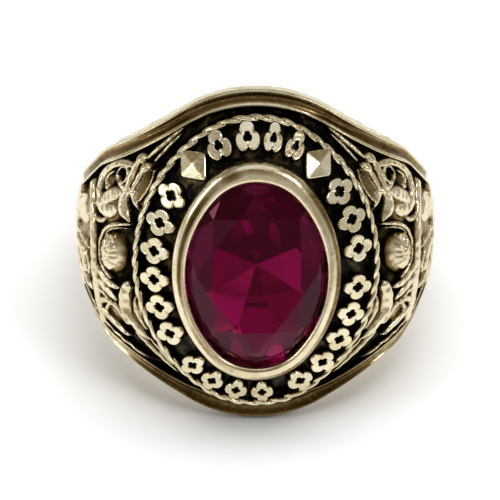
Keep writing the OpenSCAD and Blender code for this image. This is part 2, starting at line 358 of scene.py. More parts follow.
def mix_colour(tree, factor, a, b):
    """Colour a where the factor is 0 and colour b where it is 1."""
    node = tree.nodes.new("ShaderNodeMix")
    node.data_type = "RGBA"
    feed(tree, node, {0: factor, 6: a, 7: b})
    return node.outputs[2]


def colour_ramp(tree, value, stops):
    """Colour along a ramp at a value: each stop is a place and a colour, or a place and a grey."""
    node = tree.nodes.new("ShaderNodeValToRGB")
    elements = node.color_ramp.elements
    elements.remove(elements[1])
    for i, (place, colour) in enumerate(stops):
        element = elements[0] if i == 0 else elements.new(place)
        element.position = place
        element.color = (*colour, 1) if isinstance(colour, tuple) else (colour, colour, colour, 1)
    feed(tree, node, {0: value})
    return node.outputs[0]


# Gold

# Scales of its textures, from broad clouds of tone to fine grain
CLOUD_SCALE = 380
PATCH_SCALE = 1300
DENT_SCALE = 1500
SPECK_SCALE = 3400
GRAIN_SCALE = 5200
# Colours of the metal: bright where it is polished, bronze where it is dirty and where painted shade is
# faint, black where soot lies thick and where painted shade is deep
BRIGHT = [(0.37, (0.68, 0.58, 0.36)), (0.5, (0.80, 0.71, 0.48)), (0.64, (0.89, 0.82, 0.62))]
BRONZE = [(0.38, (0.13, 0.08, 0.025)), (0.62, (0.33, 0.22, 0.08))]
BLACK = [(0.5, (0.004, 0.0035, 0.003)), (0.66, (0.05, 0.036, 0.015))]
# How much grime and painted shade together turn bright metal to bronze, and how much turn it black
TARNISH_AND_SHADE = [(0.16, 0), (0.48, 1)]
SOOT_AND_SHADE = [(0.5, 0), (0.8, 1)]
# Darkening in crevices by ambient occlusion, part antiquing and part painted shade: how far they reach, in
# millimetres, and its strength
CREVICE_REACH = 0.7
CREVICE_DIRT_AND_SHADE = 0.5
UNEVEN_DIRT = 0.3
# Roughness of the worn metal, and what soot adds to it
GOLD_WEAR = [(0.3, 0.16), (0.7, 0.32)]
SOOT_ROUGHNESS = 0.12
# Depth of the dents in millimetres, how strongly they show, and the grain's share in them
DENT_DEPTH = 0.05
DENT_STRENGTH = 0.3
GRAIN_SHARE = 0.3


def dirt_and_painted_shade(tree, textures):
    """How dark the metal is made: per-point antiquing and painted shade, occlusion in its crevices that is
    part antiquing and part painted shade, and some uneven patches.
    """
    recess_and_shade_node = tree.nodes.new("ShaderNodeAttribute")
    recess_and_shade_node.attribute_name = "recess"
    # Ambient occlusion darkens the crevices: part antiquing, part painted shade
    occlusion = tree.nodes.new("ShaderNodeAmbientOcclusion")
    occlusion.samples = 8
    feed(tree, occlusion, {"Distance": CREVICE_REACH * MM})
    shaded = maths(tree, "SUBTRACT", 1.0, occlusion.outputs["AO"])
    dirt_and_shade = maths(tree, "ADD", maths(tree, "MULTIPLY", shaded, CREVICE_DIRT_AND_SHADE), recess_and_shade_node.outputs["Fac"])
    for texture in textures:
        around_zero = maths(tree, "SUBTRACT", texture, 0.5)
        dirt_and_shade = maths(tree, "ADD", dirt_and_shade, maths(tree, "MULTIPLY", around_zero, UNEVEN_DIRT))
    return dirt_and_shade


def gold_material():
    """Pale antique gold, worn bright on what stands up and black where the polish can't reach, and darkened
    further by painted shade.
    """
    made = bpy.data.materials.get("antique_gold")
    if made:
        return made
    material, tree, shader = new_material("antique_gold")
    place = tree.nodes.new("ShaderNodeTexCoord").outputs["Object"]
    cloud = noise(tree, place, CLOUD_SCALE)
    patch = noise(tree, place, PATCH_SCALE, detail=2)
    speck = noise(tree, place, SPECK_SCALE, detail=4)
    cloud_part = maths(tree, "MULTIPLY", cloud, 0.6)
    patch_part = maths(tree, "MULTIPLY", patch, 0.4)
    tone = maths(tree, "ADD", cloud_part, patch_part)

    # Darkness from grime, antiquing and painted shade turns the metal bronze, then black
    dirt_and_shade = dirt_and_painted_shade(tree, (speck, patch))
    soot_and_shade = colour_ramp(tree, dirt_and_shade, SOOT_AND_SHADE)
    tarnish_and_shade = colour_ramp(tree, dirt_and_shade, TARNISH_AND_SHADE)
    colour = mix_colour(tree, tarnish_and_shade, colour_ramp(tree, tone, BRIGHT), colour_ramp(tree, tone, BRONZE))
    colour = mix_colour(tree, soot_and_shade, colour, colour_ramp(tree, patch, BLACK))

    soot_part = maths(tree, "MULTIPLY", soot_and_shade, SOOT_ROUGHNESS)
    roughness = maths(tree, "ADD", soot_part, colour_ramp(tree, speck, GOLD_WEAR))

    grain_part = maths(tree, "MULTIPLY", noise(tree, place, GRAIN_SCALE, detail=4), GRAIN_SHARE)
    dents = maths(tree, "ADD", grain_part, noise(tree, place, DENT_SCALE, detail=2))
    bump = tree.nodes.new("ShaderNodeBump")
    feed(tree, bump, {"Strength": DENT_STRENGTH, "Distance": DENT_DEPTH * MM, "Height": dents})
    feed(tree, shader, {
        "Base Color": colour,
        "Metallic": 1.0,
        "Roughness": roughness,
        "Normal": bump.outputs[0],
    })
    return material


# Ruby

# Painted light and shade on the facets, chosen by noise over the way that each one faces, and the table's
# own painted tone
FACET_LIGHT_AND_SHADE = [(0.36, (0.04, 0.0, 0.006)), (0.5, (0.15, 0.0, 0.033)), (0.62, (0.42, 0.008, 0.13))]
FACET_SCALE = 4.4
TABLE_PAINTED_TONE = (0.21, 0.002, 0.05)
# How squarely a facet has to face out to count as the table
TABLE_FACING = [(0.93, 0), (0.97, 1)]
REFLECTION_TINT = (0.5, 0.15, 0.24)
CLEARNESS = 0.88
RUBY_IOR = 1.77
RUBY_WEAR = [(0.4, 0.01), (0.75, 0.06)]
RUBY_WEAR_SCALE = 3000


def ruby_material():
    """Clear dark red stone, each facet painted lighter and darker by the way it faces."""
    material, tree, shader = new_material("ruby")
    facing = tree.nodes.new("ShaderNodeNewGeometry").outputs["True Normal"]
    # Facets painted lighter and darker by the way each faces
    facets = colour_ramp(tree, noise(tree, facing, FACET_SCALE, detail=0), FACET_LIGHT_AND_SHADE)
    squareness = tree.nodes.new("ShaderNodeVectorMath")
    squareness.operation = "DOT_PRODUCT"
    feed(tree, squareness, {0: facing, 1: OUTWARD})
    # The table gets its own painted tone
    table = colour_ramp(tree, squareness.outputs["Value"], TABLE_FACING)
    place = tree.nodes.new("ShaderNodeTexCoord").outputs["Object"]
    feed(tree, shader, {
        "Base Color": mix_colour(tree, table, facets, TABLE_PAINTED_TONE),
        "Transmission Weight": CLEARNESS,
        "IOR": RUBY_IOR,
        "Specular Tint": REFLECTION_TINT,
        "Roughness": colour_ramp(tree, noise(tree, place, RUBY_WEAR_SCALE), RUBY_WEAR),
    })
    return material


# Camera, light and floor

# Camera: degrees above the stone's axis and left of it, and millimetres from the finger hole's middle
CAMERA_ABOVE = 18
CAMERA_LEFT = 0.6
CAMERA_DISTANCE = 250
# Where it looks, in millimetres left of the finger hole's middle and below it
AIM_LEFT = 0.294
AIM_BELOW = 3.266
SENSOR = 36
LENS = 256.8
# Lights: name, place and size in metres, power in watts, and whether mirror-like surfaces show it
LIGHTS = [
    ("key", (0.47, -0.36, 0.63), (0.22, 0.22), 1.15, True),
    ("left", (-0.5, -0.2, 0.35), (0.16, 0.3), 0.7, True),
    ("floor_fill", (0.1, 0.1, 0.9), (0.9, 0.9), 7.0, False),
]
LIT_POINT = (0, -0.002, 0.01)
# The room by height: pale walls, a brown ceiling and a skylight straight above
WALLS = [(0.42, (0.62, 0.62, 0.62)), (0.66, (0.19, 0.14, 0.07)), (0.9, (0.16, 0.11, 0.05))]
SKYLIGHT = [(0.87, 0), (0.94, 1)]
SKYLIGHT_COLOUR = (0.85, 0.87, 0.95)
# Brown patches that break the room up, and the scale of their noise
ROOM_PATCHES = [(0.42, 0), (0.56, 1)]
ROOM_PATCH_COLOUR = (0.28, 0.24, 0.17)
ROOM_PATCH_SCALE = 5.0
# Floor: its colour, and metres from its middle to its sides
FLOOR_COLOUR = (0.935, 0.948, 0.97)
FLOOR_HALF = 1.5


def ring_direction(u, v, w):
    return Vector(u * ACROSS + v * ALONG + w * OUTWARD)


def add_camera():
    above, aside = math.radians(CAMERA_ABOVE), math.radians(CAMERA_LEFT)
    rise, level = math.sin(above), math.cos(above)
    left, ahead = math.sin(aside), math.cos(aside)
    right = ring_direction(ahead, 0, left)
    up = ring_direction(left * rise, level, -rise * ahead)
    towards = ring_direction(-level * left, rise, level * ahead)
    location = Vector(ORIGIN) + CAMERA_DISTANCE * MM * towards
    target = Vector(ORIGIN) - AIM_LEFT * MM * right - AIM_BELOW * MM * up
    back = (location - target).normalized()
    side = up.cross(back).normalized()
    turn = Matrix((side, back.cross(side), back)).transposed().to_4x4()
    data = bpy.data.cameras.new("camera")
    data.sensor_width = SENSOR
    data.lens = LENS
    data.clip_start = 0.01
    camera = bpy.data.objects.new("camera", data)
    camera.matrix_world = Matrix.Translation(location) @ turn
    bpy.context.scene.collection.objects.link(camera)
    bpy.context.scene.camera = camera


def add_lights():
    for name, place, size, watts, mirrored in LIGHTS:
        data = bpy.data.lights.new(name, "AREA")
        data.shape = "RECTANGLE"
        data.size, data.size_y = size
        data.energy = watts
        light = bpy.data.objects.new(name, data)
        light.location = place
        light.rotation_euler = (Vector(LIT_POINT) - Vector(place)).to_track_quat("-Z", "Y").to_euler()
        light.visible_glossy = mirrored
        bpy.context.scene.collection.objects.link(light)


def add_world():
    """The room that the metal mirrors: what faces up turns brown and the rest stays pale."""
    world = bpy.data.worlds.new("studio")
    world.use_nodes = True
    tree = world.node_tree
    direction = tree.nodes.new("ShaderNodeTexCoord").outputs["Generated"]
    parts = tree.nodes.new("ShaderNodeSeparateXYZ")
    feed(tree, parts, {0: direction})
    height = parts.outputs["Z"]
    unbroken = colour_ramp(tree, noise(tree, direction, ROOM_PATCH_SCALE, detail=1), ROOM_PATCHES)
    room = mix_colour(tree, unbroken, ROOM_PATCH_COLOUR, colour_ramp(tree, height, WALLS))
    room = mix_colour(tree, colour_ramp(tree, height, SKYLIGHT), room, SKYLIGHT_COLOUR)
    feed(tree, tree.nodes["Background"], {"Color": room})
    bpy.context.scene.world = world
    bpy.context.scene.view_settings.view_transform = "Standard"


def add_floor():
    corners = [(x * FLOOR_HALF, y * FLOOR_HALF, 0) for x, y in ((-1, -1), (1, -1), (1, 1), (-1, 1))]
    mesh = bpy.data.meshes.new("floor")
    mesh.from_pydata(corners, [], [(0, 1, 2, 3)])
    floor = bpy.data.objects.new("floor", mesh)
    bpy.context.scene.collection.objects.link(floor)
    material, tree, shader = new_material("white_floor")
    feed(tree, shader, {"Base Color": FLOOR_COLOUR, "Roughness": 0.6})
    mesh.materials.append(material)


# Band: shank, shoulders and rails

# Rail moulding: distance in from the edge, height above the outer surface, and how dark the metal is, which
# in the cove is painted shade
RAIL = [
    (0.00, -0.16, 0.1), (0.02, -0.06, 0.0), (0.06, -0.01, 0.0), (0.11, 0.00, 0.0), (0.16, -0.02, 0.05),
    (0.23, -0.08, 0.25), (0.34, -0.16, 0.42), (0.50, -0.22, 0.5), (0.66, -0.22, 0.55), (0.80, -0.18, 0.55),
    (0.92, -0.10, 0.4), (1.00, -0.02, 0.05), (1.06, 0.01, 0.0), (1.13, 0.01, 0.0), (1.18, -0.03, 0.1),
    (1.22, -0.14, 0.6),
]
RAIL_W = 1.26
BAND_SLICES = 480
GROUND_STEPS = 16
WALL_STEPS = 8
# Where the band's wall gives way to the rounded edge of the finger hole, over the bore
BORE_EASE = 0.22
# Rounded edge of the finger hole: height over the bore, and distance in from the band's side
BORE_EDGE = [(0.07, 0.03), (0.0, 0.12)]
# Angles from the stone over which the rails fade out towards the back of the shank
RAIL_FADE = (math.radians(84), math.radians(104))
# Painted shade on the lower rail: how much below the stone, what part of it goes, and over which angles
LOWER_RAIL_SHADE = 0.5
LOWER_LOSS = 0.7
LOWER_FADE = (math.radians(22), math.radians(50))
# The part of the moulding's own shading that the lower rail lacks
LOWER_PLAIN = 0.8
# Heights between which the cutter opens the stone's seat
SEAT_CUT = (6.0, 16.0)


def rail_strength(angle):
    """The rails fade out round the back of the shank."""
    return 1 - step_between(np.abs(angle), *RAIL_FADE)


def on_ring(angle, rho, v):
    """Points at an angle round the finger hole and a distance from its axis."""
    return np.stack([rho * np.sin(angle), v, rho * np.cos(angle)], axis=-1)


def band_rows(angle, edge, strength):
    """Half of the band's section, from the middle of the ground round to the bore: distance, v and shade."""
    rows = []
    for f in np.linspace(0, 1, GROUND_STEPS):
        v = f * (edge - RAIL_W)
        rows.append((outer(angle, v) - BED * strength, v, strength))
    # The moulding's darkness puts painted shade in the rail's cove
    for distance, height, dark in reversed(RAIL):
        v = edge - distance
        rows.append((outer(angle, v) + height * strength, v, strength * dark))
    corner = outer(angle, edge) + RAIL[0][1] * strength
    clean = 0 * angle
    for f in np.linspace(0, 1, WALL_STEPS + 1)[1:]:
        rho = corner + (BORE_R + BORE_EASE - corner) * f
        rows.append((rho, half_width(angle, rho), clean))
    side = half_width(angle, np.full_like(angle, BORE_R))
    for height, distance in BORE_EDGE:
        rows.append((np.full_like(angle, BORE_R + height), side - distance, clean))
    # One more row halfway in over the bore
    rows.append((np.full_like(angle, BORE_R), (side - distance) * 0.5, clean))
    return rows


def band():
    angle = np.linspace(-math.pi, math.pi, BAND_SLICES, endpoint=False)
    edge = edge_half(angle)
    strength = rail_strength(angle)
    # Painted shade along the lower rail, strongest below the stone
    lower = LOWER_RAIL_SHADE * (1 - LOWER_LOSS * step_between(np.abs(angle), *LOWER_FADE))
    rows = band_rows(angle, edge, strength)
    points = [on_ring(angle, rho, v) for rho, v, dark in rows]
    shade = [dark for rho, v, dark in rows]
    # The lower half, with the lower rail's painted shade in place of the moulding's
    for rho, v, dark in rows[:0:-1]:
        on_rail = (v > edge - RAIL_W + 0.05) * strength
        points.append(on_ring(angle, rho, -v))
        shade.append(dark * (1 - LOWER_PLAIN * on_rail) + lower * on_rail)
    faces = grid_faces(len(points), BAND_SLICES, close_rows=True, close_columns=True)
    piece = gold_piece("band", np.concatenate(points), faces, np.concatenate(shade), smooth_angle=75)
    open_seat(piece)


def open_seat(piece):
    """Cuts the stone's seat through the head into the finger hole."""
    count = 96
    x, y = oval_point(round_steps(count), *STONE_OVAL, -SEAT_IN + 0.05)
    points = np.concatenate([level_row(x, y, w) for w in SEAT_CUT])
    faces = [list(map(int, f)) for f in grid_faces(2, count, close_columns=True)]
    faces += [list(range(count)), list(range(2 * count - 1, count - 1, -1))]
    mesh = bpy.data.meshes.new("seat_cutter")
    mesh.from_pydata(to_world(points).tolist(), [], faces)
    cutter = bpy.data.objects.new("seat_cutter", mesh)
    bpy.context.scene.collection.objects.link(cutter)
    modifier = piece.modifiers.new("seat", "BOOLEAN")
    modifier.operation = "DIFFERENCE"
    modifier.solver = "EXACT"
    modifier.object = cutter
    apply_modifiers(piece)
    bpy.data.objects.remove(cutter)


def apply_modifiers(piece):
    graph = bpy.context.evaluated_depsgraph_get()
    solved = bpy.data.meshes.new_from_object(piece.evaluated_get(graph))
    piece.modifiers.clear()
    old = piece.data
    piece.data = solved
    bpy.data.meshes.remove(old)
    solved.name = piece.name


# Setting: channel floor, bezel and seat

# How much further the bezel's outside reaches at the ends, and how much lower its window is set
BEZEL_LONGER = 0.18
WINDOW_LOWER = 0.15
# Distances out past which a row reaches further at the ends, and past which it has the outer painted shade
LONGER_PAST = 0.2
OUTER_PAST = 0.3
# Painted shade on the bezel: on its outside right of the stone and below it, inside left of it, and above on
# both
BEZEL_SHADE_RIGHT = 0.56
BEZEL_SHADE_BELOW = 0.16
BEZEL_SHADE_LEFT = 0.62
BEZEL_SHADE_ABOVE = 0.06
# Three painted highlights round the bezel, and its painted mottled reflection above the stone
PAINTED_GLEAM = 0.25
PAINTED_MOTTLING = 0.24


def setting_rows():
    """Section of the setting, out under the channel, in over its floor and the bezel, and down the seat.

    Each row has its height, its distance out from the stone and how dark the metal is.
    """
    lip = STONE_GAP + BEZEL_LIP
    under = SEAT_IN + STONE_GAP
    bed = BORE_R + 0.3
    return [
        (bed, -SEAT_IN + 0.3, 1.0),
        (bed, FLOOR_OUT + 0.1, 1.0),
        (ROPE_SEAT - 0.1, FLOOR_OUT + 0.1, 1.0),
        (ROPE_SEAT + 0.05, FLOOR_OUT + 0.05, 1.0),
        (ROPE_SEAT + 0.05, FLOOR_OUT - 0.25, 1.0),
        (ROPE_SEAT + 0.45, FLOOR_OUT - 0.7, 1.0),
        (FLOOR_TOP - 0.35, BEZEL_OUT + 0.5, 1.0),
        (FLOOR_TOP - 0.05, BEZEL_OUT + 0.06, 0.8),
        (FLOOR_TOP + 0.08, BEZEL_OUT - 0.04, 0.3),
        (FLOOR_TOP + 0.3, BEZEL_OUT - 0.08, -0.15),
        (BEZEL_TOP - 0.46, BEZEL_OUT - 0.1, -0.1),
        (BEZEL_TOP - 0.37, BEZEL_OUT - 0.13, -0.05),
        (BEZEL_TOP - 0.27, BEZEL_OUT - 0.21, 0.0),
        (BEZEL_TOP - 0.17, BEZEL_OUT - 0.34, 0.0),
        (BEZEL_TOP - 0.09, BEZEL_OUT - 0.48, 0.0),
        (BEZEL_TOP - 0.03, BEZEL_OUT - 0.62, 0.0),
        (BEZEL_TOP, -0.05, 0.0),
        (BEZEL_TOP - 0.03, -0.19, 0.0),
        (BEZEL_TOP - 0.10, -0.27, 0.1),
        (BEZEL_TOP - 0.16, -0.30, 0.3),
        (BEZEL_TOP - 0.24, -0.32, 0.1),
        (BEZEL_TOP - 0.36, -BEZEL_LIP, -0.2),
        (GIRDLE_W + GIRDLE_H + lip * CROWN_SLOPE + 0.05, -BEZEL_LIP, -0.7),
        (GIRDLE_W + GIRDLE_H + 0.15, STONE_GAP, -0.7),
        (GIRDLE_W - STONE_GAP, STONE_GAP, -0.7),
        (GIRDLE_W - STONE_GAP - under * SEAT_SLOPE, -SEAT_IN, -0.7),
    ]


def bezel_painted_light(heading, out):
    """Painted shade and highlights round the bezel's length: how much darker it is than its row says."""
    right = np.maximum(np.sin(heading - 0.2), 0)
    left = np.maximum(-np.sin(heading), 0)
    above = np.maximum(np.cos(heading), 0)
    below = np.maximum(-np.cos(heading), 0)
    if out > OUTER_PAST:
        painted_shade = BEZEL_SHADE_RIGHT * right + BEZEL_SHADE_ABOVE * above + BEZEL_SHADE_BELOW * below
    else:
        painted_shade = BEZEL_SHADE_LEFT * left + BEZEL_SHADE_ABOVE * above
    # Painted highlights at three places round the bezel
    painted_shade -= PAINTED_GLEAM * np.maximum(np.sin(3 * heading + 1.1), 0) ** 4
    # Painted mottled reflection above the stone
    painted_shade += PAINTED_MOTTLING * above * np.maximum(-np.cos(9 * heading + 0.2), -0.6)
    return painted_shade


def setting():
    heading = round_steps(240)
    points = []
    shade = []
    for w, out, dark in setting_rows():
        bezel = w > FLOOR_TOP
        longer = BEZEL_LONGER * np.cos(heading) ** 2 if bezel and out > LONGER_PAST else 0
        x, y = oval_point(heading, *STONE_OVAL, out + longer)
        if bezel and out <= 0:
            y = y - WINDOW_LOWER
        points.append(level_row(x, y, w))
        # Rows of the bezel below its crest get painted shade and highlights
        painted_row = bezel and w < BEZEL_TOP - 0.01 and out > -0.1
        shade.append(np.full_like(x, dark) + painted_row * bezel_painted_light(heading, out))
    x, y = oval_point(heading, *STONE_OVAL, -SEAT_IN)
    points.append(np.stack([x, y, np.sqrt(BORE_R**2 - x**2) + 0.03], axis=1))
    shade.append(np.full_like(x, -0.4))
    # The headings run clockwise, so the faces are turned over
    faces = grid_faces(len(points), len(heading), close_rows=True, close_columns=True)[:, ::-1]
    gold_piece("setting", np.concatenate(points), faces, np.concatenate(shade), smooth_angle=34)


# Stone: an oval brilliant, its pavilion turned half a facet from the crown

# Number of main facets, and the radii of the rows as parts of the stone's half-size
MAINS = 8
TABLE_R = 0.63
STAR_R = 0.8
LOWER_R = 0.62
# How much taller the stone's girdle is than the seat's, the height of its crown, and its pavilion's depth
CROWN_LIFT = 0.2
CROWN_RISE = 1.15
PAVILION = 3.1


def ring_points(radius, height, first, count):
    """Row of points round the stone, clockwise from a first angle."""
    around = first + np.arange(count) / count * 2 * math.pi
    return level_row(radius * STONE_HALF_W * np.sin(around), radius * STONE_HALF_L * np.cos(around), height)


def cut_stone():
    half = math.pi / MAINS
    crown = GIRDLE_W + GIRDLE_H + CROWN_LIFT
    star = crown + CROWN_RISE * (1 - STAR_R * math.cos(half)) / (1 - TABLE_R)
    lower = GIRDLE_W - PAVILION * (1 - LOWER_R * math.cos(half))
    points = np.concatenate([
        ring_points(TABLE_R, crown + CROWN_RISE, half, MAINS),
        ring_points(STAR_R, star, 0, MAINS),
        ring_points(1, crown, 0, 2 * MAINS),
        ring_points(1, GIRDLE_W, 0, 2 * MAINS),
        ring_points(LOWER_R, lower, half, MAINS),
        [[0, 0, GIRDLE_W - PAVILION]],
    ])
    table = list(range(MAINS))
    stars = [MAINS + i for i in range(MAINS)]
    top = [2 * MAINS + i for i in range(2 * MAINS)]
    bottom = [4 * MAINS + i for i in range(2 * MAINS)]
    low = [6 * MAINS + i for i in range(MAINS)]
    faces = [table]
    for i in range(MAINS):
        after = (i + 1) % MAINS
        near, far = 2 * i, (2 * i + 2) % (2 * MAINS)
        faces += [
            [table[i - 1], stars[i], table[i]],
            [table[i], stars[i], top[near + 1], stars[after]],
            [stars[i], top[near], top[near + 1]],
            [stars[i], top[near - 1], top[near]],
            [top[near], bottom[near], bottom[near + 1], top[near + 1]],
            [top[near + 1], bottom[near + 1], bottom[far], top[far]],
            [low[i], bottom[far], bottom[near + 1]],
            [low[i], bottom[near + 1], bottom[near]],
            [low[i], 7 * MAINS, low[after], bottom[far]],
        ]
    # The rows run clockwise, so the faces are turned over
    stone = mesh_object("cut_stone", points, [f[::-1] for f in faces], smooth_angle=0.1)
    stand_for(stone, "stone", ruby_material())


# Rope border: two strands twisted round each other

# The rope's oval, and where its middle runs, outwards from it
ROPE_OVAL = (10.3, 8.32, 6.3)
ROPE_MIDDLE = -0.28
# Half turns of the rope round the ring, rows of points to each, and points round the rope
HALF_TURNS = 52
TURN_ROWS = 11
ROPE_SIDES = 22
# Distance of each strand's middle from the rope's, and its radius
STRAND_APART = 0.085
STRAND_R = 0.185
# The rope's section against a round one, and the height of its middle over its seat
ROPE_NARROWER = 0.95
ROPE_TALLER = 1.3
ROPE_LIFT = 0.28
# Unevenness of the rope's thickness: strength, waves round the ring and their start
ROPE_WAVES = [(0.06, 7, 1.3), (0.05, 23, 0)]
GROOVE_DARK = 0.5


def rope_border():
    rings = HALF_TURNS * TURN_ROWS
    s = np.arange(rings) / rings * oval_length(*ROPE_OVAL, ROPE_MIDDLE)
    u, v, heading = oval_at(s, *ROPE_OVAL, ROPE_MIDDLE)
    lean = np.arange(ROPE_SIDES) / ROPE_SIDES * 2 * math.pi
    twist = np.arange(rings) / rings * math.pi * HALF_TURNS
    off = lean[None, :] - twist[:, None]
    radius = STRAND_APART * np.abs(np.cos(off)) + np.sqrt(STRAND_R**2 - (STRAND_APART * np.sin(off)) ** 2)
    swell = 1
    for strength, waves, start in ROPE_WAVES:
        swell = swell + strength * np.sin(waves * heading + start)
    radius = radius * swell[:, None]
    side = radius * np.cos(lean) * ROPE_NARROWER
    rise = radius * np.sin(lean) * ROPE_TALLER
    points = np.stack([
        u[:, None] + side * np.sin(heading)[:, None],
        v[:, None] + side * np.cos(heading)[:, None],
        ROPE_SEAT + ROPE_LIFT + rise,
    ], axis=2)
    groove = 1 - np.abs(np.cos(off))
    # Painted shade on the rope's underside
    shaded_underside = step_between(-np.sin(lean)[None, :] + 0 * off, 0.2, 0.8)
    shade = np.clip(GROOVE_DARK * groove**3 + shaded_underside, 0, 1)
    faces = grid_faces(rings, ROPE_SIDES, close_rows=True, close_columns=True)
    gold_piece("rope_border", points.reshape(-1, 3), faces, shade, smooth_angle=180)


# Channel ornaments, clockwise from the top: form, how many, place of the first round the channel, and pitch
RUNS = [
    ("bud", 2, 1.1, 1.5), ("stud", 1, 4.5, 2.0), ("rosette", 3, 6.85, 2.09), ("rosette", 5, 13.8, 1.98),
    ("rosette", 4, 24.35, 1.7), ("rosette", 6, 32.2, 2.02), ("stud", 1, 44.85, 2.0), ("bud", 2, 46.95, 1.93),
]
# How much nearer to the stone the ornaments at the sides stand
MOTIF_NEARER = 0.36


def channel_places():
    """Form, place, heading, floor height and pitch of each ornament along the channel."""
    for form, count, first, pitch in RUNS:
        for k in range(count):
            u, v, heading = oval_at(np.array(first + k * pitch), *STONE_OVAL, MOTIF_OUT)
            near = MOTIF_NEARER * math.sin(heading) ** 2
            u -= near * math.sin(heading)
            v -= near * math.cos(heading)
            floor = FLOOR_MID + near * math.tan(FLOOR_SLOPE)
            yield form, float(u), float(v), float(heading), floor, pitch


def on_channel(local, u, v, heading, floor):
    """Stands local points (along, outward, up) on the channel's sloping floor."""
    along, outward, up = local.T
    tilted = outward * math.cos(FLOOR_SLOPE) + up * math.sin(FLOOR_SLOPE)
    height = -outward * math.sin(FLOOR_SLOPE) + up * math.cos(FLOOR_SLOPE)
    return np.stack([
        u + along * math.cos(heading) + tilted * math.sin(heading),
        v - along * math.sin(heading) + tilted * math.cos(heading),
        floor + height,
    ], axis=1)


def raised_form(x, y, rows):
    """Closed form over an outline: each row has its size over the outline's, its height and its shade."""
    points = np.concatenate([level_row(size * x, size * y, height) for size, height, dark in rows])
    shade = np.concatenate([np.full_like(x, dark) for size, height, dark in rows])
    return points, closed_ends(len(rows), len(x)), shade


# Profile of an ornament: part of the way in from its edge, height, and how dark the metal is
RAISED = [
    (-0.04, -0.4, 1.0), (-0.03, 0.0, 1.0), (0.0, 0.3, 0.45), (0.03, 0.42, 0.1), (0.09, 0.48, 0.0),
    (0.2, 0.50, 0.0), (0.42, 0.46, 0.1), (0.66, 0.49, 0.0), (0.84, 0.47, 0.0), (0.93, 0.36, 0.5),
    (0.98, 0.12, 1.0), (1.0, 0.06, 1.0),
]
# Half-size of an ornament outwards, and along the channel as a part of its pitch
MOTIF_HALF = 1.2
MOTIF_FILL = 0.46
MOTIF_SIDES = 48


def motif(theta, radius, hollow, pitch):
    """Ornament from its outline's radius, and its hollow's size over its own."""
    rows = [(1 - inward * (1 - hollow), height, dark) for inward, height, dark in RAISED]
    points, faces, shade = raised_form(radius * np.cos(theta), radius * np.sin(theta), rows)
    return points * (MOTIF_FILL * pitch, MOTIF_HALF, 1), faces, shade


def rosette(heading, pitch):
    """Four petals round a hollow."""
    theta = round_steps(MOTIF_SIDES)
    return motif(theta, 0.66 + 0.34 * np.abs(np.cos(2 * theta)) ** 0.7, 0.3, pitch)


def bud(heading, pitch):
    """Three petals round a hollow, one of them outwards."""
    theta = round_steps(MOTIF_SIDES)
    petals = np.abs(np.cos(1.5 * (theta - math.pi / 2))) ** 0.6
    return motif(theta, 0.58 + 0.42 * petals, 0.24, pitch)


# Profile of a stud: half-size over that of its foot, height, and how dark the metal is
STUD = [
    (0.92, -0.5, 1.0), (0.90, 0.0, 1.0), (0.87, 0.3, 0.4), (0.85, 0.38, 0.1), (0.81, 0.42, 0.0),
    (0.55, 0.48, 0.0), (0.3, 0.535, 0.0), (0.06, 0.59, 0.0), (0.02, 0.59, 0.0),
]
STUD_HALF_U = 0.96
STUD_HALF_V = 0.94
# Power of the rounded square: higher has sharper corners
STUD_SQUARENESS = 9
STUD_SIDES = 64


def stud(heading, pitch):
    """Square stud with a low pyramid top, upright on the face whichever way the channel heads."""
    theta = round_steps(STUD_SIDES)
    power = STUD_SQUARENESS
    square = 1 / (np.abs(np.cos(theta)) ** power + np.abs(np.sin(theta)) ** power) ** (1 / power)
    across = STUD_HALF_U * square * np.cos(theta)
    up = STUD_HALF_V * square * np.sin(theta)
    along = across * math.cos(heading) - up * math.sin(heading)
    outward = (across * math.sin(heading) + up * math.cos(heading)) / math.cos(FLOOR_SLOPE)
    return raised_form(along, outward, STUD)


def along_channel(name, forms, smooth_angle):
    """One piece with the forms that it is given, each in all its places along the channel."""
    parts = []
    for form, u, v, heading, floor, pitch in channel_places():
        if form in forms:
            points, faces, shade = forms[form](heading, pitch)
            parts.append((on_channel(points, u, v, heading, floor), faces, shade))
    gold_piece(name, *joined(parts), smooth_angle=smooth_angle)


